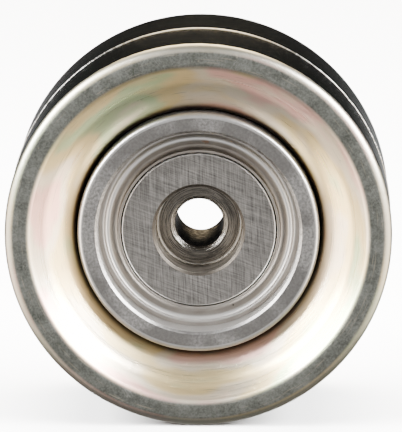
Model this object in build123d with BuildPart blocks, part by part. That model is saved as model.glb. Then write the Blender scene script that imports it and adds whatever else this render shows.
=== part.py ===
from build123d import *
import os

# Belt tensioner idler: a pulley of two stamped shells round a sealed double-row ball bearing.
# Millimetres. The axis is Y, the front faces -Y, and the origin is the middle of the axis.
# Every turned profile is drawn in the XY plane: x is the radius, y the place along the axis.

# Pulley shells
drum_radius = 37.5            # belt surface
half_width = 21.8             # middle plane to the rim's flat face
sheet = 1.6                   # wall of a shell
rim_outer_round = 1.9         # rim's flat face to the belt surface
rim_width = 4.6               # belt surface to the start of the dish
rim_inner_round = 1.8         # rim's flat face to the dish
dish_knee_run = 3.3           # the dish is steep this far in, and flatter inside its knee
dish_knee_depth = 3.9         # rim's flat face to the knee
dish_knee_round = 6.0
dish_depth = 7.2              # rim's flat face to the mouth of the hub sleeve
sleeve_round = 2.4            # dish to the hub sleeve
sleeve_gap = 1.0              # between the ends of the two hub sleeves

# Weld that joins the shells
seam_half = 0.25              # half the width of the weld
seam_proud = 0.12             # weld above the belt surface

# Bearing rings
bearing_radius = 23.5         # outside of the outer ring
hole_radius = 8.5             # bore of the inner ring
outer_ring_half = 18.0
outer_ring_round = 0.9        # outer corners of the outer ring
outer_land_step = 2.1         # middle of the balls to the outer ring's land
shield_seat_step = 1.0        # outer ring's land to the wider bore in front of a shield
shield_seat_chamfer = 0.5
inner_ring_half = 14.75
inner_land_step = 1.55        # middle of the balls to the inner ring's land
inner_ring_chamfer = 0.2      # outer corners of the inner ring
hole_chamfer = 0.5

# Balls and cages
ball_radius = 3.969
pitch_shift = 0.5             # middle of the balls outside the middle of the bearing's section
row_offset = 6.8              # middle plane to each row of balls
balls_per_row = 8
race_gap = 0.12               # ball to track
pocket_gap = 0.15             # ball to cage pocket
cage_sheet = 0.5
cage_half_band = 1.0          # half the radial width of a cage
rivet_radius = 0.45
rivet_head_radius = 0.8
rivet_head_height = 0.3

# Shields
shield_sheet = 0.5
shield_flange_depth = 5.9     # outer ring's face to the staked flange
shield_stake = 0.45           # how far the flange's edge is staked into the outer ring
shield_wall_run = 0.45        # radial run of the wall between flange and bead
shield_bead_inset = 1.5       # wider bore of the outer ring to the bead
shield_bead_height = 1.1      # flange to the bead
shield_channel_depth = 0.8    # bead to the channel inside it
shield_flange_round = 0.3
shield_bead_round = 0.65
shield_channel_round = 1.2
lip_gap = 0.3                 # shield's lip to the inner ring
lip_drop = 0.25               # inner ring's face to the shield's lip

# Centre bushing
bushing_front_depth = 7.1     # inner ring's front face to the bushing
bushing_rear_depth = 2.45     # inner ring's rear face to the bushing
bushing_round = 0.45
bolt_radius = 4.765
bolt_chamfer = 0.75

# Sizes that follow from the ones above
rim_inner_radius = drum_radius - rim_width
dish_knee_radius = rim_inner_radius - dish_knee_run
pitch_radius = (bearing_radius + hole_radius) / 2 + pitch_shift
outer_land_radius = pitch_radius + outer_land_step
shield_seat_radius = outer_land_radius + shield_seat_step
inner_land_radius = pitch_radius - inner_land_step
cage_inner_radius = pitch_radius - cage_half_band
cage_outer_radius = pitch_radius + cage_half_band
shield_bead_radius = shield_seat_radius - shield_bead_inset
race_radius = ball_radius + race_gap
pocket_radius = ball_radius + pocket_gap
cup_radius = pocket_radius + cage_sheet
flange_front = outer_ring_half - shield_flange_depth
flange_back = flange_front - shield_sheet
flange_radius = shield_seat_radius + shield_stake
bead_front = flange_front + shield_bead_height
lip_radius = inner_land_radius + lip_gap + shield_sheet
front_row = Plane.XZ.offset(row_offset)

os.makedirs("parts", exist_ok=True)


def save(piece, label):
    """Label a finished piece and write it as a STEP file of that name."""
    piece.label = label
    export_step(piece, f"parts/{label}.step")


def save_twin(piece, label):
    """Write the rear twin of a front piece, mirrored about the middle plane."""
    with BuildPart() as twin:
        mirror(piece, about=Plane.XZ)
    save(twin.part, label)


# Front shell: belt drum, rolled rim, dished web and hub sleeve, pressed from one sheet.
with BuildPart() as front_shell:
    with BuildSketch(Plane.XY):
        with BuildLine():
            FilletPolyline(
                (drum_radius, -seam_half),
                (drum_radius, -half_width),
                (rim_inner_radius, -half_width),
                (dish_knee_radius, dish_knee_depth - half_width),
                (bearing_radius, dish_depth - half_width),
                (bearing_radius, -sleeve_gap / 2),
                radius=[rim_outer_round, rim_inner_round, dish_knee_round, sleeve_round],
            )
            offset(amount=sheet, side=Side.RIGHT)
        make_face()
    revolve(axis=Axis.Y)
save(front_shell.part, "front_shell")
save_twin(front_shell.part, "rear_shell")

# Seam weld: fills the joint between the two drums and stands a little proud of them.
with BuildPart() as seam_weld:
    with BuildSketch(Plane.XY):
        with BuildLine():
            ThreePointArc(
                (drum_radius, -seam_half),
                (drum_radius + seam_proud, 0),
                (drum_radius, seam_half),
            )
            Polyline(
                (drum_radius, seam_half),
                (drum_radius - sheet, seam_half),
                (drum_radius - sheet, -seam_half),
                (drum_radius, -seam_half),
            )
        make_face()
    revolve(axis=Axis.Y)
save(seam_weld.part, "seam_weld")

# Outer ring: two ball tracks inside, and a stepped seat for a shield at each end.
with BuildPart() as outer_ring:
    with BuildSketch(Plane.XY) as section:
        with BuildLine():
            half = Polyline(
                (outer_land_radius, 0),
                (outer_land_radius, -flange_back),
                (flange_radius, -flange_back),
                (flange_radius, -flange_front),
                (shield_seat_radius, -flange_front),
                (shield_seat_radius, -outer_ring_half),
                (bearing_radius, -outer_ring_half),
                (bearing_radius, 0),
            )
            mirror(half, about=Plane.XZ)
        make_face()
        with Locations((pitch_radius, -row_offset), (pitch_radius, row_offset)):
            Circle(race_radius, mode=Mode.SUBTRACT)
        ends = section.vertices().group_by(Axis.Y)
        corners = ends[0] + ends[-1]
        fillet(corners.group_by(Axis.X)[-1], outer_ring_round)
        ends = section.vertices().group_by(Axis.Y)
        corners = ends[0] + ends[-1]
        chamfer(corners.group_by(Axis.X)[0], shield_seat_chamfer)
    revolve(axis=Axis.Y)
save(outer_ring.part, "outer_ring")

# Inner ring: one wide ring with two ball tracks.
with BuildPart() as inner_ring:
    with BuildSketch(Plane.XY) as section:
        with Locations(((hole_radius + inner_land_radius) / 2, 0)):
            Rectangle(inner_land_radius - hole_radius, 2 * inner_ring_half)
        with Locations((pitch_radius, -row_offset), (pitch_radius, row_offset)):
            Circle(race_radius, mode=Mode.SUBTRACT)
        ends = section.vertices().group_by(Axis.Y)
        chamfer((ends[0] + ends[-1]).group_by(Axis.X)[0], hole_chamfer)
        ends = section.vertices().group_by(Axis.Y)
        chamfer((ends[0] + ends[-1]).group_by(Axis.X)[-1], inner_ring_chamfer)
    revolve(axis=Axis.Y)
save(inner_ring.part, "inner_ring")

# Centre bushing: pressed into the inner ring, it carries the mounting bolt.
with BuildPart() as center_bushing:
    bushing_length = 2 * inner_ring_half - bushing_front_depth - bushing_rear_depth
    bushing_middle = (bushing_front_depth - bushing_rear_depth) / 2
    with BuildSketch(Plane.XY) as section:
        with Locations(((bolt_radius + hole_radius) / 2, bushing_middle)):
            Rectangle(hole_radius - bolt_radius, bushing_length)
        chamfer(section.vertices().group_by(Axis.X)[0], bolt_chamfer)
        fillet(section.vertices().group_by(Axis.X)[-1], bushing_round)
    revolve(axis=Axis.Y)
save(center_bushing.part, "center_bushing")

# Shields: sheet rings staked into the outer ring, with a bead and a lip beside the inner ring.
with BuildPart() as front_shield:
    with BuildSketch(Plane.XY):
        with BuildLine():
            FilletPolyline(
                (flange_radius, -flange_front),
                (shield_bead_radius + shield_wall_run, -flange_front),
                (shield_bead_radius, -bead_front),
                (lip_radius, shield_channel_depth - bead_front),
                (lip_radius, lip_drop - inner_ring_half),
                radius=[shield_flange_round, shield_bead_round, shield_channel_round],
            )
            offset(amount=shield_sheet, side=Side.RIGHT)
        make_face()
    revolve(axis=Axis.Y)
save(front_shield.part, "front_shield")
save_twin(front_shield.part, "rear_shield")

# Balls: one piece each, numbered round the row.
for index in range(balls_per_row):
    turn = 360 * index / balls_per_row
    with BuildPart(front_row) as ball:
        with PolarLocations(pitch_radius, 1, start_angle=turn):
            Sphere(ball_radius)
    save(ball.part, f"front_ball_{index + 1}")
    save_twin(ball.part, f"rear_ball_{index + 1}")

# Cages: two pressed halves that meet at the middle of the row and are riveted between the balls.
for label, side in (("outer", 1), ("inner", -1)):
    with BuildPart(front_row) as cage_half:
        with BuildSketch(front_row):
            Circle(cage_outer_radius)
            Circle(cage_inner_radius, mode=Mode.SUBTRACT)
        extrude(amount=side * cage_sheet)
        with PolarLocations(pitch_radius, balls_per_row):
            Sphere(cup_radius)
        with BuildSketch(front_row):
            Circle(cage_outer_radius)
            Circle(cage_inner_radius, mode=Mode.SUBTRACT)
        extrude(amount=side * cup_radius, mode=Mode.INTERSECT)
        with PolarLocations(pitch_radius, balls_per_row):
            Sphere(pocket_radius, mode=Mode.SUBTRACT)
        with PolarLocations(pitch_radius, balls_per_row, start_angle=180 / balls_per_row):
            Cylinder(rivet_radius, 4 * cage_sheet, mode=Mode.SUBTRACT)
    save(cage_half.part, f"front_cage_{label}_half")
    save_twin(cage_half.part, f"rear_cage_{label}_half")

with BuildPart(front_row) as cage_rivets:
    with PolarLocations(pitch_radius, balls_per_row, start_angle=180 / balls_per_row):
        Cylinder(rivet_radius, 2 * cage_sheet)
        head_middle = cage_sheet + rivet_head_height / 2
        with Locations((0, 0, head_middle), (0, 0, -head_middle)):
            Cylinder(rivet_head_radius, rivet_head_height)
save(cage_rivets.part, "front_cage_rivets")
save_twin(cage_rivets.part, "rear_cage_rivets")
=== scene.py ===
"""Belt tensioner idler: a pulley of two stamped shells round a shielded double-row ball bearing.

The frame gives every size. Profiles are turned about the Y axis and are given in millimetres as
(radius, place along the axis, corner round); the meshes are in metres.
"""

import math

import bpy
from mathutils import Matrix, Vector


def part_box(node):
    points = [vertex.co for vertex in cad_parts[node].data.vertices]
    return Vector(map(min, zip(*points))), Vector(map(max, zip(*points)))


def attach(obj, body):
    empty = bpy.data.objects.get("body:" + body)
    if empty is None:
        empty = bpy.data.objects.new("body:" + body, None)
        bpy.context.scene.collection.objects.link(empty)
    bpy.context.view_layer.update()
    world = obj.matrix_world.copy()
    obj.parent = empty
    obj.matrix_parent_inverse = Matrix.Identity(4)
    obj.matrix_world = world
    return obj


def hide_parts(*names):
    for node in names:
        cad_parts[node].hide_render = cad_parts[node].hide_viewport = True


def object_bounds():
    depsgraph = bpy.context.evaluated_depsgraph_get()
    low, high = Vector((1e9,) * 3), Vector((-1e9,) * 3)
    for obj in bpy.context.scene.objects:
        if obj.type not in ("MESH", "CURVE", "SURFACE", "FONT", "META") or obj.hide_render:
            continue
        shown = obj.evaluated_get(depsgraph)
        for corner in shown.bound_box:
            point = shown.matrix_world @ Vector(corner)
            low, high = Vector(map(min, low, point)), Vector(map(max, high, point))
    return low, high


bl_info = {
    "name": "Belt Tensioner Idler",
    "version": (1, 0, 0),
    "blender": (4, 5, 0),
    "location": "3D View > Sidebar > Idler",
    "description": "Builds a stamped steel belt idler with its shielded double-row bearing",
    "category": "Add Mesh",
}

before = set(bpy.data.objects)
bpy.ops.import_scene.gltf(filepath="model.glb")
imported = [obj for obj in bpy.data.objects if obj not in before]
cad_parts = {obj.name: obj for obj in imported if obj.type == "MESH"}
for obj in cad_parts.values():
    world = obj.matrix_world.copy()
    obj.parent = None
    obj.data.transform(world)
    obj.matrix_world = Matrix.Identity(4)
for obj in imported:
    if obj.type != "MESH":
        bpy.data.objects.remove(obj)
CAD_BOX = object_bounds()

MM = 0.001
SEGMENTS = 256                    # facets round a turned piece
ARC_STEP = math.radians(9)        # turn of one facet of a rounded corner
TRACK_STEPS = 16                  # facets across a ball track
CROWN_STEPS = 8                   # facets across the weld's crown
SHARP_ANGLE = math.radians(32)    # corners that turn more than this look sharp
STRAIGHT = 0.01                   # a corner that turns less than this, in radians, is not rounded
NEAR_HALF = 0.499                 # largest share of a side that one corner's round takes
LEAST_ROUND = 0.05                # smallest round that a moved line keeps, in millimetres
CUT_EDGE = 0.12                   # round on the sheared edges of a shield, in millimetres


def high(node):
    """Highest corner of a CAD node, in millimetres."""
    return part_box(node)[1] / MM


def low(node):
    """Lowest corner of a CAD node, in millimetres."""
    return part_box(node)[0] / MM


# Sizes read from the frame, in millimetres
DRUM_RADIUS = high("front_shell").x
HALF_WIDTH = high("rear_shell").y
SEAM_HALF = high("seam_weld").y
SEAM_RADIUS = high("seam_weld").x
RING_RADIUS = high("outer_ring").x
RING_HALF = high("outer_ring").y
INNER_RADIUS = high("inner_ring").x
INNER_HALF = high("inner_ring").y
HOLE_RADIUS = high("center_bushing").x
BUSHING_FRONT = low("center_bushing").y
BUSHING_REAR = high("center_bushing").y
FLANGE_RADIUS = high("front_shield").x
FLANGE_BACK = -high("front_shield").y
LIP_FACE = -low("front_shield").y
SLEEVE_END = -high("front_shell").y
BALL_RADIUS = (high("front_ball_1").x - low("front_ball_1").x) / 2
PITCH_RADIUS = (high("front_ball_1").x + low("front_ball_1").x) / 2
ROW_OFFSET = -(high("front_ball_1").y + low("front_ball_1").y) / 2


# ---------------------------------------------------------------- turned meshes


def corner_arc(before, corner, after):
    """Points of the arc that rounds a corner given as (radius, place, round)."""
    here = Vector(corner[:2])
    back = Vector(before[:2]) - here
    on = Vector(after[:2]) - here
    reach = min(back.length, on.length) * NEAR_HALF
    back.normalize()
    on.normalize()
    turn = math.pi - back.angle(on)
    if corner[2] <= 0 or turn < STRAIGHT:
        return [tuple(here)]
    trim = min(corner[2] * math.tan(turn / 2), reach)
    size = trim / math.tan(turn / 2)
    centre = here + (back + on).normalized() * math.hypot(trim, size)
    start = here + back * trim - centre
    side = 1 if back.cross(on) < 0 else -1
    steps = max(2, math.ceil(turn / ARC_STEP))
    points = []
    for step in range(steps + 1):
        swing = Matrix.Rotation(side * turn * step / steps, 2)
        points.append(tuple(centre + swing @ start))
    return points


def rounded(corners):
    """A closed outline of (radius, place, round) corners as plain points."""
    points = []
    for index, corner in enumerate(corners):
        before = corners[index - 1]
        after = corners[(index + 1) % len(corners)]
        points += corner_arc(before, corner, after)
    return points


def moved_aside(path, gap):
    """A bent line moved to the right of its direction by gap, with its corner rounds to match."""
    lines = []
    for start, end in zip(path, path[1:]):
        ahead = (Vector(end[:2]) - Vector(start[:2])).normalized()
        aside = Vector((ahead.y, -ahead.x)) * gap
        lines.append((Vector(start[:2]) + aside, ahead, aside))
    moved = [(*lines[0][0], 0)]
    for corner, first, second in zip(path[1:-1], lines, lines[1:]):
        slide = (second[0] - first[0]).cross(second[1]) / first[1].cross(second[1])
        place = first[0] + first[1] * slide
        inside = first[1].cross(second[1]) < 0
        size = corner[2] - gap if inside else corner[2] + gap
        moved.append((*place, max(size, LEAST_ROUND)))
    moved.append((*(Vector(path[-1][:2]) + lines[-1][2]), 0))
    return moved


def sheet_outline(path, thickness, edge_round):
    """Closed outline of a bent sheet: its seen skin, then its back, with rounded edges."""
    seen = [(*path[0][:2], edge_round), *path[1:-1], (*path[-1][:2], edge_round)]
    back = moved_aside(path, thickness)
    back = [(*back[0][:2], edge_round), *back[1:-1], (*back[-1][:2], edge_round)]
    return rounded(seen + back[::-1])


def track_arc(radius, middle, land, inward):
    """Points where a ball track of this radius cuts a land, from low to high place."""
    half = math.acos(abs(land - PITCH_RADIUS) / radius)
    points = []
    for step in range(TRACK_STEPS + 1):
        turn = half * (2 * step / TRACK_STEPS - 1)
        depth = math.cos(turn) * radius * (-1 if inward else 1)
        points.append((PITCH_RADIUS + depth, middle + math.sin(turn) * radius, 0))
    return points


def flipped(corners):
    """The same outline on the rear half of the axis."""
    return [(corner[0], -corner[1], *corner[2:]) for corner in corners][::-1]


def turned(name, outline, body, slot, material, *nodes):
    """Turn a closed outline about the Y axis, and let it stand for its CAD node."""
    count = len(outline)
    verts = []
    for segment in range(SEGMENTS):
        angle = 2 * math.pi * segment / SEGMENTS
        out = Vector((math.cos(angle), 0, math.sin(angle)))
        verts += [out * radius * MM + Vector((0, place * MM, 0)) for radius, place in outline]
    faces = []
    for segment in range(SEGMENTS):
        here = segment * count
        there = (segment + 1) % SEGMENTS * count
        for index in range(count):
            on = (index + 1) % count
            faces.append((here + index, here + on, there + on, there + index))
    mesh = bpy.data.meshes.new(name)
    mesh.from_pydata(verts, [], faces)
    area = sum(a[0] * b[1] - b[0] * a[1] for a, b in zip(outline, outline[1:] + outline[:1]))
    if area < 0:
        mesh.flip_normals()
    mesh.polygons.foreach_set("use_smooth", [True] * len(mesh.polygons))
    mesh.set_sharp_from_angle(angle=SHARP_ANGLE)
    mesh.materials.append(material)
    piece = bpy.data.objects.new(name, mesh)
    bpy.context.scene.collection.objects.link(piece)
    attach(piece, body)
    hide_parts(*nodes)
    return piece


# ---------------------------------------------------------------- node helpers


def put(tree, kind, inputs=None, **settings):
    """Add a node, set it up, and fill its inputs with values or links."""
    node = tree.nodes.new(kind)
    for key, value in settings.items():
        setattr(node, key, value)
    for key, value in (inputs or {}).items():
        if isinstance(value, bpy.types.NodeSocket):
            tree.links.new(value, node.inputs[key])
        else:
            node.inputs[key].default_value = value
    return node


def calc(tree, operation, *values):
    """Output of a Math node."""
    return put(tree, "ShaderNodeMath", dict(enumerate(values)), operation=operation).outputs[0]


def blend(tree, mask, first, second):
    """Output of a colour mix."""
    inputs = {0: mask, 6: first, 7: second}
    return put(tree, "ShaderNodeMix", inputs, data_type="RGBA").outputs[2]


def remap(tree, value, low_in, high_in, low_out=0.0, high_out=1.0):
    """Output of a smooth Map Range node."""
    inputs = {
        "Value": value,
        "From Min": low_in,
        "From Max": high_in,
        "To Min": low_out,
        "To Max": high_out,
    }
    return put(tree, "ShaderNodeMapRange", inputs, interpolation_type="SMOOTHSTEP").outputs[0]


def new_group(name, inputs, outputs):
    """A shader node group with named sockets; gives its tree, input node and output node."""
    tree = bpy.data.node_groups.new(name, "ShaderNodeTree")
    for label, default, note in inputs:
        kind = "NodeSocketColor" if isinstance(default, tuple) else "NodeSocketFloat"
        socket = tree.interface.new_socket(label, in_out="INPUT", socket_type=kind)
        socket.default_value = default
        socket.description = note
    for label, kind in outputs:
        tree.interface.new_socket(label, in_out="OUTPUT", socket_type=kind)
    return tree, tree.nodes.new("NodeGroupInput"), tree.nodes.new("NodeGroupOutput")


def use(tree, name, **values):
    """Outputs of a node group, with values or links for its named inputs."""
    inputs = {key.replace("_", " ").capitalize(): value for key, value in values.items()}
    return put(tree, "ShaderNodeGroup", inputs, node_tree=bpy.data.node_groups[name]).outputs


def within(tree, value, middle, half_width, softness):
    """Mask of a band of a value, through the group Band."""
    return use(tree, "Band", value=value, middle=middle, half_width=half_width, softness=softness)[0]


def slanted(tree, place, angle, stretch):
    """A place turned about the axis, with each direction stretched by its own share."""
    inputs = {"Vector": place, "Angle": angle}
    swung = put(tree, "ShaderNodeVectorRotate", inputs, rotation_type="Y_AXIS").outputs[0]
    shares = put(tree, "ShaderNodeCombineXYZ", stretch).outputs[0]
    return put(tree, "ShaderNodeVectorMath", {0: swung, 1: shares}, operation="MULTIPLY").outputs[0]


def spot_noise(tree, vector, seed, scale, detail, **more):
    """Output of a noise texture whose pattern a seed shifts."""
    inputs = {"Vector": vector, "W": seed, "Scale": scale, "Detail": detail, **more}
    return put(tree, "ShaderNodeTexNoise", inputs, noise_dimensions="4D").outputs[0]


FLOAT = "NodeSocketFloat"
COLOR = "NodeSocketColor"
VECTOR = "NodeSocketVector"
NOISE_LOW, NOISE_HIGH = 0.3, 0.7    # most values of a noise texture lie between these


def group_turned_place():
    """Place, radius and distance from the middle plane, in millimetres, and direction round the axis."""
    outputs = [("Radius", FLOAT), ("Distance", FLOAT), ("Place", VECTOR), ("Compass", VECTOR)]
    tree, _, out = new_group("Turned place", [], outputs)
    place = put(tree, "ShaderNodeTexCoord").outputs["Object"]
    place = put(tree, "ShaderNodeVectorMath", {0: place, "Scale": 1 / MM}, operation="SCALE").outputs[0]
    parts = put(tree, "ShaderNodeSeparateXYZ", {0: place}).outputs
    square = calc(tree, "ADD", calc(tree, "POWER", parts[0], 2.0), calc(tree, "POWER", parts[2], 2.0))
    radius = calc(tree, "SQRT", square)
    compass = put(
        tree,
        "ShaderNodeCombineXYZ",
        {0: calc(tree, "DIVIDE", parts[0], radius), 2: calc(tree, "DIVIDE", parts[2], radius)},
    ).outputs[0]
    tree.links.new(radius, out.inputs["Radius"])
    tree.links.new(calc(tree, "ABSOLUTE", parts[1]), out.inputs["Distance"])
    tree.links.new(place, out.inputs["Place"])
    tree.links.new(compass, out.inputs["Compass"])


def group_band():
    """A mask that is 1 where a value lies within a band, and fades over its softness."""
    inputs = [
        ("Value", 0.0, "What the band is measured on"),
        ("Middle", 0.0, "Middle of the band"),
        ("Half width", 1.0, "Half the width of the band"),
        ("Softness", 0.1, "Width over which the band fades"),
    ]
    tree, given, out = new_group("Band", inputs, [("Mask", FLOAT)])
    away = calc(tree, "ABSOLUTE", calc(tree, "SUBTRACT", given.outputs["Value"], given.outputs["Middle"]))
    edge = calc(tree, "ADD", given.outputs["Half width"], given.outputs["Softness"])
    mask = remap(tree, away, edge, given.outputs["Half width"])
    tree.links.new(mask, out.inputs["Mask"])


def group_mottle():
    """Cloudy blotches between 0 and 1."""
    inputs = [
        ("Scale", 0.3, "Blotches to a millimetre"),
        ("Contrast", 0.5, "How hard the blotches' edges are, 0 to 1"),
        ("Detail", 4.0, "Layers of finer blotches"),
        ("Seed", 0.0, "Shifts the pattern"),
    ]
    tree, given, out = new_group("Mottle", inputs, [("Mask", FLOAT)])
    place = use(tree, "Turned place")["Place"]
    settings = given.outputs
    noise = spot_noise(
        tree, place, settings["Seed"], settings["Scale"], settings["Detail"], Roughness=0.6
    )
    softest, narrowing = 0.42, 0.4
    spread = calc(tree, "MULTIPLY_ADD", settings["Contrast"], -narrowing, softest)
    low_edge = calc(tree, "SUBTRACT", 0.5, spread)
    high_edge = calc(tree, "ADD", 0.5, spread)
    tree.links.new(remap(tree, noise, low_edge, high_edge), out.inputs["Mask"])


def group_turning_marks():
    """Fine rings round the axis, broken here and there."""
    inputs = [
        ("Pitch", 8.0, "Rings to a millimetre"),
        ("Fade", 0.6, "How often a ring fades on its way round"),
        ("Seed", 0.0, "Shifts the pattern"),
    ]
    tree, given, out = new_group("Turning marks", inputs, [("Mask", FLOAT)])
    place = use(tree, "Turned place")
    across = calc(tree, "MULTIPLY", place["Radius"], given.outputs["Pitch"])
    along = calc(tree, "MULTIPLY", place["Distance"], given.outputs["Pitch"])
    reach = calc(tree, "ADD", across, along)
    slow = put(
        tree,
        "ShaderNodeVectorMath",
        {0: place["Compass"], "Scale": given.outputs["Fade"]},
        operation="SCALE",
    ).outputs[0]
    shift = put(tree, "ShaderNodeCombineXYZ", {1: reach}).outputs[0]
    vector = put(tree, "ShaderNodeVectorMath", {0: slow, 1: shift}, operation="ADD").outputs[0]
    noise = spot_noise(tree, vector, given.outputs["Seed"], 1.0, 3.0)
    tree.links.new(remap(tree, noise, NOISE_LOW, NOISE_HIGH), out.inputs["Mask"])


def group_scratches():
    """Thin stray scratches that run across the surface at a slant."""
    inputs = [
        ("Slant", 0.5, "Direction of the scratches in the face, in radians"),
        ("Spacing", 1.2, "Scratches to a millimetre"),
        ("Length", 0.08, "One over a scratch's length in millimetres"),
        ("Amount", 0.35, "Share of the surface that is scratched"),
        ("Seed", 0.0, "Shifts the pattern"),
    ]
    tree, given, out = new_group("Scratches", inputs, [("Mask", FLOAT)])
    place = use(tree, "Turned place")["Place"]
    spacing = given.outputs["Spacing"]
    stretch = {0: spacing, 1: spacing, 2: given.outputs["Length"]}
    vector = slanted(tree, place, given.outputs["Slant"], stretch)
    noise = spot_noise(tree, vector, given.outputs["Seed"], 1.0, 1.0)
    line_width = 0.012
    line = calc(tree, "ABSOLUTE", calc(tree, "SUBTRACT", noise, 0.5))
    line = remap(tree, line, line_width, 0.0)
    patches_to_a_millimetre = 0.25
    patch = spot_noise(tree, place, given.outputs["Seed"], patches_to_a_millimetre, 2.0)
    none_left, patch_edge = 0.85, 0.1
    start = calc(tree, "SUBTRACT", none_left, given.outputs["Amount"])
    patch = remap(tree, patch, start, calc(tree, "ADD", start, patch_edge))
    tree.links.new(calc(tree, "MULTIPLY", line, patch), out.inputs["Mask"])


def group_hatch():
    """Ground finish: straight fine lines in two slants that cross."""
    inputs = [
        ("First slant", 0.0, "Direction of the first lines, in radians"),
        ("Second slant", 1.2, "Direction of the second lines, in radians"),
        ("Fineness", 3.0, "Lines to a millimetre"),
        ("Second share", 0.5, "How much of the second lines shows"),
    ]
    tree, given, out = new_group("Ground hatch", inputs, [("Mask", FLOAT)])
    place = use(tree, "Turned place")["Place"]
    lines = []
    along = 0.16
    for label, seed in (("First slant", 1.0), ("Second slant", 5.0)):
        stretch = {0: given.outputs["Fineness"], 2: along}
        vector = slanted(tree, place, given.outputs[label], stretch)
        noise = spot_noise(tree, vector, seed, 1.0, 3.0, Roughness=0.7)
        lines.append(remap(tree, noise, NOISE_LOW, NOISE_HIGH))
    share = given.outputs["Second share"]
    second = calc(tree, "MULTIPLY", lines[1], share)
    first = calc(tree, "MULTIPLY", lines[0], calc(tree, "SUBTRACT", 1.0, share))
    tree.links.new(calc(tree, "ADD", first, second), out.inputs["Mask"])


def group_specks():
    """Small scattered pits and spots."""
    inputs = [
        ("Density", 0.8, "Spots to a millimetre"),
        ("Size", 0.12, "Size of a spot as a share of its cell"),
        ("Share", 0.2, "Share of the cells that hold a spot"),
    ]
    tree, given, out = new_group("Specks", inputs, [("Mask", FLOAT)])
    place = use(tree, "Turned place")["Place"]
    cells = put(tree, "ShaderNodeTexVoronoi", {"Vector": place, "Scale": given.outputs["Density"]}).outputs
    dot = remap(tree, cells["Distance"], given.outputs["Size"], 0.0)
    chosen = put(tree, "ShaderNodeSeparateColor", {0: cells["Color"]}).outputs[0]
    chosen = calc(tree, "LESS_THAN", chosen, given.outputs["Share"])
    tree.links.new(calc(tree, "MULTIPLY", dot, chosen), out.inputs["Mask"])


def group_plating_colours():
    """Faint rainbow of a chromate film that runs through its tints as its thickness drifts."""
    inputs = [
        ("Plain", (0.85, 0.80, 0.70, 1.0), "Colour of the film where it shows no tint"),
        ("Rose", (0.90, 0.55, 0.52, 1.0), "First tint"),
        ("Straw", (0.86, 0.72, 0.40, 1.0), "Second tint"),
        ("Green", (0.52, 0.66, 0.42, 1.0), "Third tint"),
        ("Strength", 0.5, "How much of the tints shows"),
        ("Seed", 0.0, "Shifts the pattern"),
    ]
    tree, given, out = new_group("Plating colours", inputs, [("Color", COLOR)])
    place = use(tree, "Turned place")
    drift_to_a_millimetre = 0.11
    film = calc(tree, "MULTIPLY", place["Radius"], drift_to_a_millimetre)
    shift = put(tree, "ShaderNodeCombineXYZ", {1: film}).outputs[0]
    vector = put(tree, "ShaderNodeVectorMath", {0: place["Compass"], 1: shift}, operation="ADD").outputs[0]
    film = spot_noise(tree, vector, given.outputs["Seed"], 1.0, 3.0, Roughness=0.45)
    color = given.outputs["Plain"]
    for label, middle in (("Green", 0.36), ("Straw", 0.44), ("Rose", 0.60), ("Straw", 0.68)):
        mask = within(tree, film, middle, half_width=0.015, softness=0.06)
        mask = calc(tree, "MULTIPLY", mask, given.outputs["Strength"])
        color = blend(tree, mask, color, given.outputs[label])
    tree.links.new(color, out.inputs["Color"])


GROUPS = (
    group_turned_place,
    group_band,
    group_mottle,
    group_turning_marks,
    group_scratches,
    group_hatch,
    group_specks,
    group_plating_colours,
)


# ---------------------------------------------------------------- materials


def steel(name):
    """A metal with a Principled shader; gives the material, its tree and the shader."""
    material = bpy.data.materials.new(name)
    material.use_nodes = True
    tree = material.node_tree
    shader = tree.nodes["Principled BSDF"]
    shader.inputs["Metallic"].default_value = 1.0
    return material, tree, shader


def finish(tree, shader, color, roughness):
    """Feed the shader its colour and its roughness."""
    tree.links.new(color, shader.inputs["Base Color"])
    tree.links.new(roughness, shader.inputs["Roughness"])


def bump(tree, shader, height, strength, distance):
    """Feed a height to the shader's normal; distance is in millimetres."""
    inputs = {"Height": height, "Strength": strength, "Distance": distance * MM}
    node = put(tree, "ShaderNodeBump", inputs)
    tree.links.new(node.outputs[0], shader.inputs["Normal"])


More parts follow.
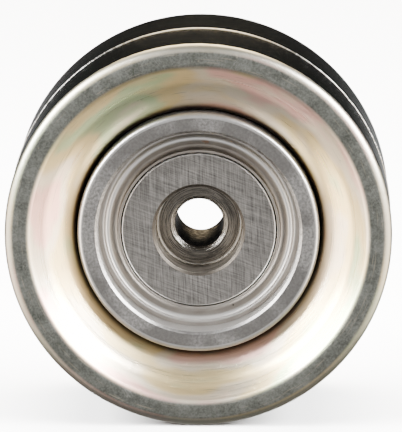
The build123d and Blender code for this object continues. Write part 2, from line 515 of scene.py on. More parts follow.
def plated_steel(colours, sizes):
    """Shells: bright chromate film in the dish, dull rim face partly darkened by a painted dark reflection,
    rubbed belt drum painted near black as a painted dark reflection, and painted shade on the rim's outer
    round and on the dish round the bearing.
    """
    material, tree, shader = steel("chromate_plated_sheet")
    place = use(tree, "Turned place")
    # Belt drum: a painted dark reflection. The plated sheet there is painted near black, and its edge
    # wanders past the belt's edge.
    belt_edge = HALF_WIDTH - sizes.rim_round / MM
    wander = use(tree, "Mottle", scale=0.5, contrast=0.2, detail=3.0, seed=3.0)[0]
    wander_reach, painted_dark_reach, skin_depth = 0.5, 0.75, 0.5
    edge = calc(tree, "MULTIPLY_ADD", wander, wander_reach, place["Distance"])
    inside = calc(tree, "LESS_THAN", edge, belt_edge + painted_dark_reach)
    outside = calc(tree, "GREATER_THAN", place["Radius"], DRUM_RADIUS - skin_depth)
    drum = calc(tree, "MULTIPLY", inside, outside)
    # Rim face: a dull, stained band whose dark tone is partly a painted dark reflection.
    dull_outward, dull_inset, face_depth = 0.35, 0.2, 0.9
    flat_middle = DRUM_RADIUS - (sizes.rim_round + sizes.rim_width) / MM / 2 + dull_outward
    flat_half = (sizes.rim_width - sizes.rim_round) / MM / 2 - dull_inset
    flat = within(tree, place["Radius"], flat_middle, flat_half, softness=1.3)
    face = calc(tree, "GREATER_THAN", place["Distance"], HALF_WIDTH - face_depth)
    flat = calc(tree, "MULTIPLY", flat, face)

    film = use(
        tree,
        "Plating colours",
        plain=colours.plating,
        rose=colours.rose,
        straw=colours.straw,
        green=colours.green,
        strength=0.75,
        seed=3.0,
    )[0]
    # Painted shade: the rim's outer round next to the belt is darkened.
    shoulder_start, shoulder_end = DRUM_RADIUS - 1.6, DRUM_RADIUS - 0.9
    shoulder_painted_shade = remap(tree, place["Radius"], shoulder_start, shoulder_end)
    film = blend(tree, calc(tree, "MULTIPLY", shoulder_painted_shade, 0.85), film, colours.shoulder_painted_shade)
    stain = use(tree, "Mottle", scale=0.35, contrast=0.4, detail=9.0, seed=9.0)[0]
    fine = use(tree, "Mottle", scale=2.4, contrast=0.7, detail=6.0, seed=10.0)[0]
    stain = calc(tree, "MULTIPLY_ADD", fine, 0.4, calc(tree, "MULTIPLY", stain, 0.6))
    # Real stains on a dark tone that is partly a painted dark reflection.
    dull = blend(tree, stain, colours.rim_dark, colours.rim_light)
    color = blend(tree, flat, film, dull)
    # Painted dark reflection on the belt drum, with random rubbed tone in it.
    smear = use(tree, "Mottle", scale=0.2, contrast=0.2, detail=5.0, seed=21.0)[0]
    belt = blend(tree, smear, colours.drum, colours.drum_painted_dark_rubbed)
    color = blend(tree, drum, color, belt)
    scuffs = use(tree, "Scratches", slant=0.5, spacing=0.8, length=0.12, amount=0.34, seed=4.0)[0]
    nicks = use(tree, "Scratches", slant=-0.9, spacing=1.1, length=0.2, amount=0.3, seed=8.0)[0]
    marks = calc(tree, "MAXIMUM", scuffs, nicks)
    color = blend(tree, calc(tree, "MULTIPLY", marks, 0.07), color, colours.bare)
    pits = use(tree, "Specks", density=0.55, size=0.16, share=0.12)[0]
    threads = use(tree, "Turning marks", pitch=3.4, fade=5.0, seed=27.0)[0]
    threads = remap(tree, threads, 0.86, 1.0)
    pits = calc(tree, "MAXIMUM", pits, threads)
    pits = calc(tree, "MULTIPLY", pits, calc(tree, "MULTIPLY_ADD", drum, -0.45, 0.45))
    color = blend(tree, pits, color, colours.pit)
    # Painted shade: the dish is darkened towards brown next to the bearing.
    painted_shade_start, painted_shade_full = RING_RADIUS + 4.2, RING_RADIUS + 1.5
    haze = remap(tree, place["Radius"], painted_shade_start, painted_shade_full, 0.0, 0.42)
    color = blend(tree, haze, color, colours.haze)
    # Painted shade: the groove between the dish and the outer ring is painted near black with the bolt
    # hole's colour.
    groove_start, groove_full = RING_RADIUS + 2.0, RING_RADIUS + 0.6
    groove_painted_shade = remap(tree, place["Radius"], groove_start, groove_full)
    color = blend(tree, calc(tree, "MULTIPLY", groove_painted_shade, 0.92), color, colours.bore)

    rings = use(tree, "Turning marks", pitch=2.2, fade=1.2, seed=2.0)[0]
    gloss = calc(tree, "MULTIPLY_ADD", rings, 0.06, 0.27)
    gloss = calc(tree, "MULTIPLY_ADD", flat, 0.2, gloss)
    gloss = calc(tree, "MULTIPLY_ADD", drum, -0.07, gloss)
    finish(tree, shader, color, gloss)
    grain = use(tree, "Mottle", scale=4.0, contrast=0.2, detail=3.0, seed=1.0)[0]
    depth = calc(tree, "MULTIPLY_ADD", flat, 0.5, 0.4)
    height = calc(tree, "MULTIPLY_ADD", grain, depth, calc(tree, "MULTIPLY", rings, 0.25))
    height = calc(tree, "MULTIPLY_ADD", marks, -0.5, height)
    bump(tree, shader, height, 0.35, 0.05)
    return material


def weld_steel(colours):
    """Seam: a bare bright bead."""
    material, tree, shader = steel("weld_bead")
    ripple = use(tree, "Mottle", scale=1.6, contrast=0.3, detail=2.0, seed=6.0)[0]
    color = blend(tree, ripple, colours.weld, colours.bare)
    finish(tree, shader, color, calc(tree, "MULTIPLY_ADD", ripple, 0.1, 0.22))
    bump(tree, shader, ripple, 0.3, 0.03)
    return material


def ring_steel(colours, sizes):
    """Outer ring: tumbled satin face between two polished corners, which a painted highlight brightens
    further.
    """
    material, tree, shader = steel("tumbled_ring_steel")
    place = use(tree, "Turned place")
    cloud = use(tree, "Mottle", scale=2.0, contrast=0.25, detail=8.0, seed=11.0)[0]
    stain = use(tree, "Mottle", scale=0.09, contrast=0.85, detail=2.0, seed=17.0)[0]
    color = blend(tree, cloud, colours.ring_dark, colours.ring_light)
    color = blend(tree, calc(tree, "MULTIPLY", stain, 0.75), color, colours.ring_dark)
    # Outer corners: polished, and brightened further by a painted highlight.
    outer = RING_RADIUS - sizes.ring_round / MM / 2
    shine_half = sizes.ring_round / MM / 2 - 0.1
    polish_and_painted_highlight = within(tree, place["Radius"], outer, shine_half, softness=0.3)
    seat_middle = FLANGE_RADIUS - 0.9
    seat = within(tree, place["Radius"], seat_middle, half_width=0.47, softness=0.06)
    color = blend(tree, calc(tree, "MULTIPLY", polish_and_painted_highlight, 0.55), color, colours.edge)
    color = blend(tree, seat, color, colours.ring_light)
    rings = use(tree, "Turning marks", pitch=5.0, fade=2.0, seed=5.0)[0]
    gloss = calc(tree, "MULTIPLY_ADD", cloud, 0.12, 0.34)
    gloss = calc(tree, "MULTIPLY_ADD", polish_and_painted_highlight, -0.08, gloss)
    finish(tree, shader, color, gloss)
    grain = use(tree, "Mottle", scale=5.0, contrast=0.2, detail=4.0, seed=13.0)[0]
    height = calc(tree, "MULTIPLY_ADD", rings, 0.3, calc(tree, "MULTIPLY", grain, 0.4))
    bump(tree, shader, height, 0.25, 0.03)
    return material


def ground_steel(colours):
    """Inner ring: cross-hatched ground face and a turned bore."""
    material, tree, shader = steel("ground_ring_steel")
    place = use(tree, "Turned place")
    hatch = use(
        tree, "Ground hatch", first_slant=0.05, second_slant=1.22, fineness=3.2, second_share=0.45
    )[0]
    color = blend(tree, hatch, colours.ground_dark, colours.ground_light)
    rim = within(tree, place["Radius"], INNER_RADIUS, half_width=0.12, softness=0.06)
    mouth_middle, skin = HOLE_RADIUS + 0.25, 0.05
    mouth = within(tree, place["Radius"], mouth_middle, half_width=0.27, softness=0.08)
    color = blend(tree, rim, color, colours.edge)
    color = blend(tree, mouth, color, colours.bushing_dark)
    bore = calc(tree, "LESS_THAN", place["Radius"], HOLE_RADIUS + skin)
    rings = use(tree, "Turning marks", pitch=1.4, fade=0.8, seed=14.0)[0]
    color = blend(tree, bore, color, blend(tree, rings, colours.bushing_dark, colours.bushing_light))
    gloss = calc(tree, "MULTIPLY_ADD", hatch, 0.16, 0.3)
    plain = calc(tree, "MAXIMUM", bore, mouth)
    finish(tree, shader, color, calc(tree, "MULTIPLY_ADD", plain, 0.12, gloss))
    bump(tree, shader, hatch, 0.45, 0.03)
    return material


def bushing_steel(colours, sizes):
    """Bushing: brownish turned face, bright corners and a coarse bored hole."""
    material, tree, shader = steel("turned_bushing_steel")
    place = use(tree, "Turned place")
    rings = use(tree, "Turning marks", pitch=6.0, fade=1.5, seed=9.0)[0]
    color = blend(tree, rings, colours.bushing_dark, colours.bushing_light)
    cloud = use(tree, "Mottle", scale=0.6, contrast=0.3, detail=4.0, seed=17.0)[0]
    color = blend(tree, calc(tree, "MULTIPLY", cloud, 0.5), color, colours.bushing_dark)
    half_corner = sizes.bushing_round / MM / 2
    rim = within(tree, place["Radius"], HOLE_RADIUS - half_corner, half_corner, softness=0.15)
    half_chamfer = sizes.bolt_chamfer / MM / 2
    bolt = sizes.bolt_radius / MM
    mouth_half, skin = half_chamfer - 0.1, 0.05
    mouth = within(tree, place["Radius"], bolt + half_chamfer, mouth_half, softness=0.2)
    color = blend(tree, calc(tree, "MAXIMUM", rim, calc(tree, "MULTIPLY", mouth, 0.3)), color, colours.bare)
    bore = calc(tree, "LESS_THAN", place["Radius"], bolt + skin)
    chips = use(tree, "Mottle", scale=1.8, contrast=0.9, detail=5.0, seed=19.0)[0]
    turns = use(tree, "Turning marks", pitch=1.6, fade=3.0, seed=15.0)[0]
    chips = calc(tree, "MULTIPLY", chips, remap(tree, turns, 0.4, 0.8))
    color = blend(tree, bore, color, blend(tree, chips, colours.bore, colours.bushing_light))
    gloss = calc(tree, "MULTIPLY_ADD", rings, 0.1, 0.22)
    finish(tree, shader, color, calc(tree, "MULTIPLY_ADD", bore, 0.25, gloss))
    bump(tree, shader, rings, 0.4, 0.06)
    return material


# Marks on the front shield, as places in millimetres
RUST_PLACE = (1.3, -13.0, 17.4)
DOT_PLACE = (6.7, -12.6, -15.2)


def shield_steel(colours, sizes):
    """Shields: smooth pressed sheet with a painted highlight on the bead's crest, and a spot of rust and a
    dark dot on the front one.
    """
    material, tree, shader = steel("pressed_shield_steel")
    place = use(tree, "Turned place")
    cloud = use(tree, "Mottle", scale=0.25, contrast=0.2, detail=4.0, seed=23.0)[0]
    color = blend(tree, cloud, colours.shield_dark, colours.shield_light)
    wander = use(tree, "Mottle", scale=1.5, contrast=0.2, detail=4.0, seed=2.0)[0]
    for middle, reach, strength, tint in (
        (RUST_PLACE, 1.0, 0.6, colours.rust),
        (DOT_PLACE, 0.35, 0.8, colours.bore),
    ):
        near = put(
            tree, "ShaderNodeVectorMath", {0: place["Place"], 1: middle}, operation="DISTANCE"
        ).outputs["Value"]
        near = calc(tree, "MULTIPLY_ADD", wander, reach * 0.8, near)
        spot = remap(tree, near, reach * 1.4, reach * 0.7)
        color = blend(tree, calc(tree, "MULTIPLY", spot, strength), color, tint)
    # Painted highlight: the bead's crest is painted in the bright edge colour.
    crest = FLANGE_RADIUS - (sizes.shield_stake + sizes.bead_inset) / MM
    bead = within(tree, place["Radius"], crest, half_width=0.4, softness=0.5)
    color = blend(tree, bead, color, colours.edge)
    gloss = calc(tree, "MULTIPLY_ADD", cloud, 0.08, 0.36)
    finish(tree, shader, color, calc(tree, "MULTIPLY_ADD", bead, -0.1, gloss))
    rings = use(tree, "Turning marks", pitch=3.0, fade=1.0, seed=7.0)[0]
    bump(tree, shader, rings, 0.12, 0.02)
    return material


def cage_steel(colours, name, seed):
    """Cages and rivets: oily pressed strip."""
    material, tree, shader = steel(name)
    cloud = use(tree, "Mottle", scale=0.5, contrast=0.3, detail=4.0, seed=seed)[0]
    color = blend(tree, cloud, colours.shield_dark, colours.ring_light)
    finish(tree, shader, color, calc(tree, "MULTIPLY_ADD", cloud, 0.12, 0.3))
    return material


def ball_steel(colours):
    """Balls: lapped and bright, with the faintest haze."""
    material, tree, shader = steel("lapped_ball_steel")
    haze = use(tree, "Mottle", scale=0.8, contrast=0.2, detail=3.0, seed=31.0)[0]
    color = blend(tree, haze, colours.bare, colours.edge)
    finish(tree, shader, color, calc(tree, "MULTIPLY_ADD", haze, 0.05, 0.06))
    return material


# ---------------------------------------------------------------- settings


def length(label, default, note):
    """A size setting, in metres."""
    return bpy.props.FloatProperty(
        name=label, description=note, default=default * MM, min=0.0, unit="LENGTH", precision=5
    )


def colour(label, default, note):
    """A colour setting."""
    return bpy.props.FloatVectorProperty(
        name=label, description=note, default=(*default, 1.0), size=4, min=0.0, max=1.0, subtype="COLOR"
    )


class IdlerSizes(bpy.types.PropertyGroup):
    """Sizes of the idler's seen shapes that the frame's boxes don't give."""

    sheet: length("Sheet", 1.6, "Wall of a pulley shell")
    rim_round: length("Rim round", 1.9, "Round between the rim's face and the belt drum")
    rim_width: length("Rim width", 4.6, "Belt surface to the start of the dish")
    dish_round: length("Dish round", 1.8, "Round between the rim's face and the dish")
    knee_run: length("Knee run", 3.3, "Radial run of the dish's steep outer part")
    knee_depth: length("Knee depth", 3.9, "Depth of the dish's steep outer part")
    knee_round: length("Knee round", 6.0, "Round between the steep and the flat part of the dish")
    dish_depth: length("Dish depth", 7.2, "Rim's face to the mouth of the hub sleeve")
    sleeve_round: length("Sleeve round", 2.4, "Round between the dish and the hub sleeve")
    ring_round: length("Ring round", 0.9, "Outer corners of the outer ring")
    seat_chamfer: length("Seat chamfer", 0.5, "Chamfer at the mouth of the outer ring")
    seat_step: length("Seat step", 1.0, "Outer ring's land to the wider bore in front of a shield")
    track_gap: length("Track gap", 0.12, "Ball to track")
    hole_chamfer: length("Hole chamfer", 0.5, "Mouth of the inner ring's bore")
    inner_chamfer: length("Inner ring chamfer", 0.2, "Outer corners of the inner ring")
    bolt_radius: length("Bolt radius", 4.765, "Radius of the hole for the mounting bolt")
    bolt_chamfer: length("Bolt chamfer", 0.75, "Mouth of the bolt hole")
    bushing_round: length("Bushing round", 0.45, "Outer corners of the bushing")
    shield_sheet: length("Shield sheet", 0.5, "Thickness of a shield")
    shield_stake: length("Shield stake", 0.45, "How far a shield is staked into the outer ring")
    wall_run: length("Wall run", 0.45, "Radial run of the shield's wall between flange and bead")
    flange_round: length("Flange round", 0.3, "Round between the shield's flange and its wall")
    bead_height: length("Bead height", 1.1, "Shield's flange to its bead")
    bead_inset: length("Bead inset", 1.5, "Wider bore of the outer ring to the shield's bead")
    bead_round: length("Bead round", 0.65, "Round of the shield's bead")
    channel_depth: length("Channel depth", 0.8, "Bead to the channel inside it")
    channel_round: length("Channel round", 1.2, "Round of the shield's channel")
    lip_gap: length("Lip gap", 0.3, "Shield's lip to the inner ring")


class IdlerColours(bpy.types.PropertyGroup):
    """Colours of the idler's finishes."""

    plating: colour("Plating", (0.88, 0.76, 0.58), "Chromate film where it shows no tint")
    rose: colour("Rose tint", (0.92, 0.50, 0.45), "Chromate film, first tint")
    straw: colour("Straw tint", (0.88, 0.68, 0.30), "Chromate film, second tint")
    green: colour("Green tint", (0.50, 0.66, 0.34), "Chromate film, third tint")
    # Rim face: real stains on a dark tone that is partly a painted dark reflection.
    rim_dark: colour("Rim stain", (0.05, 0.053, 0.047), "Dull rim face, stained")
    rim_light: colour("Rim face", (0.15, 0.156, 0.144), "Dull rim face, clean")
    # Painted shade: browner, darker dish next to the bearing.
    haze: colour("Haze", (0.30, 0.22, 0.13), "Brown haze on the dish next to the bearing")
    # Painted shade on the rim's outer round next to the belt.
    shoulder_painted_shade: colour("Shoulder", (0.31, 0.31, 0.265), "Worn film on the round next to the belt")
    # Painted dark reflection: the plated belt drum is painted near black, and the rubbed colour is random
    # tone within it.
    drum: colour("Drum", (0.010, 0.013, 0.011), "Dark belt drum")
    drum_painted_dark_rubbed: colour("Drum, rubbed", (0.026, 0.032, 0.028), "Dark belt drum where it is rubbed")
    weld: colour("Weld", (0.36, 0.345, 0.31), "Weld between the shells")
    bare: colour("Bare steel", (0.74, 0.73, 0.70), "Scratches, weld and balls")
    pit: colour("Pit", (0.25, 0.22, 0.17), "Small pits in the plating")
    # Painted highlight where laid on the shields' bead crest and, in part, on the outer ring's outer
    # corners. Elsewhere it is polish.
    edge: colour("Polished edge", (0.90, 0.89, 0.87), "Polished corners")
    ring_dark: colour("Ring, stained", (0.14, 0.135, 0.13), "Outer ring's darker blotches")
    ring_light: colour("Ring", (0.46, 0.45, 0.44), "Outer ring")
    ground_dark: colour("Ground, deep", (0.09, 0.085, 0.08), "Grooves of the ground face")
    ground_light: colour("Ground", (0.38, 0.365, 0.345), "Ridges of the ground face")
    bushing_dark: colour("Bushing, deep", (0.06, 0.053, 0.045), "Bushing's darker rings")
    bushing_light: colour("Bushing", (0.32, 0.29, 0.25), "Bushing's lighter rings")
    # Also laid on the groove round the outer ring as painted shade.
    bore: colour("Bolt hole", (0.02, 0.018, 0.015), "Oily wall of the bolt hole")
    shield_dark: colour("Shield, dull", (0.27, 0.245, 0.22), "Shield's darker blotches")
    shield_light: colour("Shield", (0.37, 0.345, 0.315), "Shield")
    rust: colour("Rust", (0.30, 0.13, 0.05), "Spot of rust on a shield")


class IdlerStage(bpy.types.PropertyGroup):
    """Camera, floor and light."""

    elevation: bpy.props.FloatProperty(
        name="Elevation", description="Camera above the axis", default=math.radians(10.4), subtype="ANGLE"
    )
    side: bpy.props.FloatProperty(
        name="Side",
        description="Camera to the right of the axis",
        default=math.radians(0.95),
        subtype="ANGLE",
    )
    distance: bpy.props.FloatProperty(
        name="Distance", description="Camera to the front rim", default=0.942, unit="LENGTH"
    )
    lens: bpy.props.FloatProperty(
        name="Lens", description="Focal length", default=406.0, unit="CAMERA"
    )
    aim_right: bpy.props.FloatProperty(
        name="Aim right",
        description="Picture's middle to the right of the rim's",
        default=0.53 * MM,
        unit="LENGTH",
    )
    aim_up: bpy.props.FloatProperty(
        name="Aim up", description="Picture's middle above the rim's", default=3.65 * MM, unit="LENGTH"
    )
    box_power: bpy.props.FloatProperty(
        name="Soft boxes", description="Power of each side soft box", default=55.0, unit="POWER"
    )
    top_power: bpy.props.FloatProperty(
        name="Top light", description="Power of the light above the floor", default=175.0, unit="POWER"
    )
    floor: colour("Floor", (0.92, 0.92, 0.92), "Pale floor")


# ---------------------------------------------------------------- outlines


def shell_path(sizes):
    """Seen skin of the front shell: drum, rim, dish and hub sleeve."""
    dish_start = DRUM_RADIUS - sizes.rim_width / MM
    knee = dish_start - sizes.knee_run / MM
    return [
        (DRUM_RADIUS, -SEAM_HALF, 0),
        (DRUM_RADIUS, -HALF_WIDTH, sizes.rim_round / MM),
        (dish_start, -HALF_WIDTH, sizes.dish_round / MM),
        (knee, sizes.knee_depth / MM - HALF_WIDTH, sizes.knee_round / MM),
        (RING_RADIUS, sizes.dish_depth / MM - HALF_WIDTH, sizes.sleeve_round / MM),
        (RING_RADIUS, -SLEEVE_END, 0),
    ]


def shield_path(sizes):
    """Seen skin of the front shield: staked flange, bead, channel and lip."""
    flange = FLANGE_BACK + sizes.shield_sheet / MM
    bead = flange + sizes.bead_height / MM
    bead_radius = FLANGE_RADIUS - (sizes.shield_stake + sizes.bead_inset) / MM
    lip = INNER_RADIUS + (sizes.lip_gap + sizes.shield_sheet) / MM
    return [
        (FLANGE_RADIUS, -flange, 0),
        (bead_radius + sizes.wall_run / MM, -flange, sizes.flange_round / MM),
        (bead_radius, -bead, sizes.bead_round / MM),
        (lip, sizes.channel_depth / MM - bead, sizes.channel_round / MM),
        (lip, -LIP_FACE, 0),
    ]


def outer_ring_outline(sizes):
    """Section of the outer ring, with its two tracks and two shield seats."""
    track = BALL_RADIUS + sizes.track_gap / MM
    seat = FLANGE_RADIUS - sizes.shield_stake / MM
    land = seat - sizes.seat_step / MM
    chamfer = sizes.seat_chamfer / MM
    flange = FLANGE_BACK + sizes.shield_sheet / MM
    edge = 0.12
    front = [
        (RING_RADIUS, -RING_HALF, sizes.ring_round / MM),
        (seat + chamfer, -RING_HALF, edge),
        (seat, chamfer - RING_HALF, edge),
        (seat, -flange, 0),
        (FLANGE_RADIUS, -flange, 0),
        (FLANGE_RADIUS, -FLANGE_BACK, 0),
        (land, -FLANGE_BACK, 0),
        *track_arc(track, -ROW_OFFSET, land, False),
    ]
    return rounded(front + flipped(front))


def inner_ring_outline(sizes):
    """Section of the inner ring, with its two tracks and chamfered bore."""
    track = BALL_RADIUS + sizes.track_gap / MM
    chamfer = sizes.hole_chamfer / MM
    corner = sizes.inner_chamfer / MM
    edge = 0.08
    front = [
        (HOLE_RADIUS, chamfer - INNER_HALF, edge),
        (HOLE_RADIUS + chamfer, -INNER_HALF, edge),
        (INNER_RADIUS - corner, -INNER_HALF, edge),
        (INNER_RADIUS, corner - INNER_HALF, edge),
        *track_arc(track, -ROW_OFFSET, INNER_RADIUS, True),
    ]
    return rounded(front + flipped(front))


def bushing_outline(sizes):
    """Section of the centre bushing, with chamfered hole and rounded corners."""
    bolt = sizes.bolt_radius / MM
    chamfer = sizes.bolt_chamfer / MM
    edge = 0.1
    return rounded(
        [
            (bolt, BUSHING_FRONT + chamfer, edge),
            (bolt + chamfer, BUSHING_FRONT, edge),
            (HOLE_RADIUS, BUSHING_FRONT, sizes.bushing_round / MM),
            (HOLE_RADIUS, BUSHING_REAR, sizes.bushing_round / MM),
            (bolt + chamfer, BUSHING_REAR, edge),
            (bolt, BUSHING_REAR - chamfer, edge),
        ]
    )


def seam_outline(sizes):
    """Section of the weld: a low crowned strip."""
    floor = DRUM_RADIUS - sizes.sheet / MM
    crown = SEAM_RADIUS - DRUM_RADIUS
    points = [(floor, -SEAM_HALF), (floor, SEAM_HALF)]
    for step in range(CROWN_STEPS + 1):
        across = 1 - 2 * step / CROWN_STEPS
        points.append((DRUM_RADIUS + crown * (1 - across**2), across * SEAM_HALF))
    return points


# ---------------------------------------------------------------- operators


class PieceOperator(bpy.types.Operator):
    """Base of the operators that make a piece."""

    bl_options = {"REGISTER", "UNDO"}


class IDLER_OT_finishes(PieceOperator):
    """Build the shader node groups that the finishes share."""

    bl_idname = "idler.finishes"
    bl_label = "Shared finishes"

    def execute(self, context):
        for build in GROUPS:
            build()
        return {"FINISHED"}


class IDLER_OT_shells(PieceOperator):
    """Make the two stamped pulley shells."""

    bl_idname = "idler.shells"
    bl_label = "Pulley shells"

    def execute(self, context):
        sizes = context.scene.idler_sizes
        material = plated_steel(context.scene.idler_colours, sizes)
        outline = sheet_outline(shell_path(sizes), sizes.sheet / MM, 0.0)
        turned("stamped_front_shell", outline, "pulley", "plated_steel", material, "front_shell")
        turned("stamped_rear_shell", flipped(outline), "pulley", "plated_steel", material, "rear_shell")
        return {"FINISHED"}


class IDLER_OT_seam(PieceOperator):
    """Make the weld between the shells."""

    bl_idname = "idler.seam"
    bl_label = "Seam weld"

    def execute(self, context):
        outline = seam_outline(context.scene.idler_sizes)
        material = weld_steel(context.scene.idler_colours)
        turned("weld_bead_ring", outline, "pulley", "weld_steel", material, "seam_weld")
        return {"FINISHED"}


class IDLER_OT_rings(PieceOperator):
    """Make the bearing's outer and inner rings."""

    bl_idname = "idler.rings"
    bl_label = "Bearing rings"

    def execute(self, context):
        sizes = context.scene.idler_sizes
        colours = context.scene.idler_colours
        outline = outer_ring_outline(sizes)
        material = ring_steel(colours, sizes)
        turned("tumbled_outer_ring", outline, "pulley", "satin_steel", material, "outer_ring")
        outline = inner_ring_outline(sizes)
        material = ground_steel(colours)
        turned("ground_inner_ring", outline, "hub", "ground_steel", material, "inner_ring")
        return {"FINISHED"}


class IDLER_OT_bushing(PieceOperator):
    """Make the centre bushing."""

    bl_idname = "idler.bushing"
    bl_label = "Centre bushing"

    def execute(self, context):
        outline = bushing_outline(context.scene.idler_sizes)
        material = bushing_steel(context.scene.idler_colours, context.scene.idler_sizes)
        turned("turned_center_bushing", outline, "hub", "machined_steel", material, "center_bushing")
        return {"FINISHED"}


class IDLER_OT_shields(PieceOperator):
    """Make the two shields."""

    bl_idname = "idler.shields"
    bl_label = "Shields"

    def execute(self, context):
        sizes = context.scene.idler_sizes
        material = shield_steel(context.scene.idler_colours, sizes)
        outline = sheet_outline(shield_path(sizes), sizes.shield_sheet / MM, CUT_EDGE)
        turned("pressed_front_shield", outline, "pulley", "pressed_steel", material, "front_shield")
        turned("pressed_rear_shield", flipped(outline), "pulley", "pressed_steel", material, "rear_shield")
        return {"FINISHED"}


class IDLER_OT_inner_works(PieceOperator):
    """Give the balls, cages and rivets inside the bearing their finishes."""

    bl_idname = "idler.inner_works"
    bl_label = "Balls and cages"

    def execute(self, context):
        colours = context.scene.idler_colours
        finishes = {
            "ball": ball_steel(colours),
            "half": cage_steel(colours, "oiled_cage_strip", 37.0),
            "rivets": cage_steel(colours, "closed_rivet_steel", 41.0),
        }
        for name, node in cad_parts.items():
            for word, material in finishes.items():
                if word in name:
                    node.data.materials.clear()
                    node.data.materials.append(material)
        return {"FINISHED"}


def aimed(location, target):
    """World matrix of a camera or light at a place, looking at a target."""
    turn = (target - location).to_track_quat("-Z", "Y")
    return Matrix.Translation(location) @ turn.to_matrix().to_4x4()


def soft_box(name, location, width, height, power):
    """A rectangular soft light that faces the idler."""
    light = bpy.data.lights.new(name, "AREA")
    light.shape = "RECTANGLE"
    light.size = width
    light.size_y = height
    light.energy = power
    lamp = bpy.data.objects.new(name, light)
    bpy.context.scene.collection.objects.link(lamp)
    lamp.matrix_world = aimed(Vector(location), Vector((0, 0, 0)))
    return lamp


# Lights and floor, in metres: one soft box on each side, a wide light above, and the floor's reach
BOX_ASIDE, BOX_AHEAD, BOX_UP = 0.66, -0.22, 0.42
BOX_WIDTH, BOX_HEIGHT = 0.55, 0.50
TOP_PLACE, TOP_WIDTH = (0.0, 0.35, 1.3), 1.6
FLOOR_REACH = 4.0

# The studio room, as (share of the way from straight down to straight up, grey)
ROOM_DOWN, ROOM_UP = 0.3, 0.42
ROOM_BETWEEN = ((0.44, 0.28), (0.5, 0.03), (0.62, 0.02), (0.75, 0.17), (0.92, 0.17))

# Glowing parts of the room: strength, tint, and where each is dark and full along a direction
GLOWS = {
    "sides": (
        7.0,
        (1, 0.87, 0.72),
        (("aside", 0.45, 0.72), ("up", -0.7, -0.4), ("up", 0.4, 0.1), ("away", 0.5, 0.2)),
    ),
    "high behind": (12.0, (1, 0.82, 0.55), (("up", 0.5, 0.75), ("away", 0.15, 0.4), ("aside", 0.5, 0.2))),
    "in front": (0.5, (1, 1, 1), (("away", -0.7, -0.95),)),
    "low behind": (1.2, (1, 1, 1), (("away", 0.7, 0.95), ("up", -0.05, -0.25))),
}


def with_glow(tree, light, directions, strength, tint, edges):
    """Light of the room with one more glowing part."""
    mask = strength
    for direction, dark, full in edges:
        mask = calc(tree, "MULTIPLY", mask, remap(tree, directions[direction], dark, full))
    tinted = {channel: calc(tree, "MULTIPLY", mask, share) for channel, share in enumerate(tint)}
    glow = put(tree, "ShaderNodeCombineXYZ", tinted).outputs[0]
    return put(tree, "ShaderNodeVectorMath", {0: light, 1: glow}, operation="ADD").outputs[0]


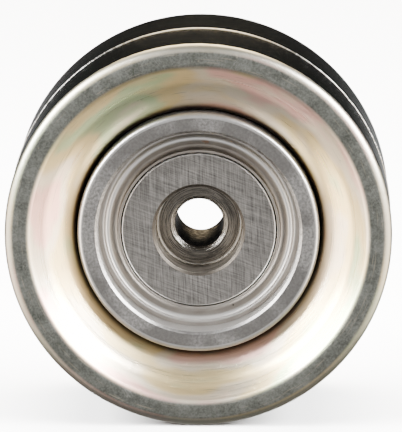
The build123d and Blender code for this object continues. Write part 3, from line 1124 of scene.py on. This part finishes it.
class IDLER_OT_stage(PieceOperator):
    """Set up the camera, the pale floor and the soft light."""

    bl_idname = "idler.stage"
    bl_label = "Stage"

    def execute(self, context):
        stage = context.scene.idler_stage
        self.make_camera(context, stage)
        self.make_floor(context, stage)
        self.make_world(context)
        for name, aside in (("soft_box_left", -BOX_ASIDE), ("soft_box_right", BOX_ASIDE)):
            soft_box(name, (aside, BOX_AHEAD, BOX_UP), BOX_WIDTH, BOX_HEIGHT, stage.box_power)
        top = soft_box("floor_light", TOP_PLACE, TOP_WIDTH, TOP_WIDTH, stage.top_power)
        top.visible_glossy = False
        return {"FINISHED"}

    def make_camera(self, context, stage):
        """Camera on the front side, a little above and to the right of the axis."""
        data = bpy.data.cameras.new("camera")
        data.lens = stage.lens
        data.clip_end = 10.0
        camera = bpy.data.objects.new("camera", data)
        context.scene.collection.objects.link(camera)
        side, rise = stage.side, stage.elevation
        back = Vector(
            (math.sin(side) * math.cos(rise), -math.cos(side) * math.cos(rise), math.sin(rise))
        )
        rim = Vector((0, (context.scene.idler_sizes.rim_round / MM - HALF_WIDTH) * MM, 0))
        matrix = aimed(rim + back * stage.distance, rim)
        shift = matrix.to_3x3() @ Vector((stage.aim_right, stage.aim_up, 0))
        camera.matrix_world = Matrix.Translation(shift) @ matrix
        context.scene.camera = camera

    def make_floor(self, context, stage):
        """Wide plain floor under the drum."""
        sides = [(-1, -1), (1, -1), (1, 1), (-1, 1)]
        corners = [(x * FLOOR_REACH, y * FLOOR_REACH, CAD_BOX[0].z) for x, y in sides]
        mesh = bpy.data.meshes.new("floor")
        mesh.from_pydata(corners, [], [(0, 1, 2, 3)])
        floor = bpy.data.objects.new("floor", mesh)
        context.scene.collection.objects.link(floor)
        material = bpy.data.materials.new("pale_floor")
        material.use_nodes = True
        shader = material.node_tree.nodes["Principled BSDF"]
        shader.inputs["Base Color"].default_value = stage.floor
        shader.inputs["Roughness"].default_value = 0.9
        shader.inputs["Specular IOR Level"].default_value = 0.0
        mesh.materials.append(material)
        floor.visible_glossy = False

    def make_world(self, context):
        """Soft room, dark at eye level, with its glowing parts."""
        world = bpy.data.worlds.new("studio")
        world.use_nodes = True
        tree = world.node_tree
        direction = put(tree, "ShaderNodeTexCoord").outputs["Generated"]
        parts = put(tree, "ShaderNodeSeparateXYZ", {0: direction}).outputs
        height = calc(tree, "MULTIPLY_ADD", parts[2], 0.5, 0.5)
        light = put(tree, "ShaderNodeValToRGB", {0: height}).outputs[0]
        stops = light.node.color_ramp.elements
        stops[0].position, stops[0].color = 0.0, (ROOM_DOWN, ROOM_DOWN, ROOM_DOWN, 1)
        stops[1].position, stops[1].color = 1.0, (ROOM_UP, ROOM_UP, ROOM_UP, 1)
        for position, grey in ROOM_BETWEEN:
            stops.new(position).color = (grey, grey, grey, 1)
        aside = calc(tree, "ABSOLUTE", parts[0])
        directions = {"aside": aside, "away": parts[1], "up": parts[2]}
        for glow in GLOWS.values():
            light = with_glow(tree, light, directions, *glow)
        tree.links.new(light, tree.nodes["Background"].inputs["Color"])
        context.scene.world = world


class IDLER_PT_panel(bpy.types.Panel):
    """Buttons that make the idler, and its settings."""

    bl_idname = "IDLER_PT_panel"
    bl_label = "Belt Tensioner Idler"
    bl_space_type = "VIEW_3D"
    bl_region_type = "UI"
    bl_category = "Idler"

    def draw(self, context):
        for operator in OPERATORS:
            self.layout.operator(operator.bl_idname)
        for group in (context.scene.idler_sizes, context.scene.idler_colours, context.scene.idler_stage):
            box = self.layout.box()
            for name in group.__annotations__:
                box.prop(group, name)


OPERATORS = (
    IDLER_OT_finishes,
    IDLER_OT_shells,
    IDLER_OT_seam,
    IDLER_OT_rings,
    IDLER_OT_bushing,
    IDLER_OT_shields,
    IDLER_OT_inner_works,
    IDLER_OT_stage,
)
SETTINGS = {"idler_sizes": IdlerSizes, "idler_colours": IdlerColours, "idler_stage": IdlerStage}
CLASSES = (*SETTINGS.values(), *OPERATORS, IDLER_PT_panel)


def register():
    """Add the classes, and their settings on the scene."""
    for cls in CLASSES:
        bpy.utils.register_class(cls)
    for name, cls in SETTINGS.items():
        setattr(bpy.types.Scene, name, bpy.props.PointerProperty(type=cls))


def unregister():
    """Take the settings and the classes away again."""
    for name in SETTINGS:
        delattr(bpy.types.Scene, name)
    for cls in reversed(CLASSES):
        bpy.utils.unregister_class(cls)


def main():
    register()
    bpy.ops.idler.finishes()
    bpy.ops.idler.shells()
    bpy.ops.idler.seam()
    bpy.ops.idler.rings()
    bpy.ops.idler.bushing()
    bpy.ops.idler.shields()
    bpy.ops.idler.inner_works()
    bpy.ops.idler.stage()


if __name__ == "__main__":
    main()
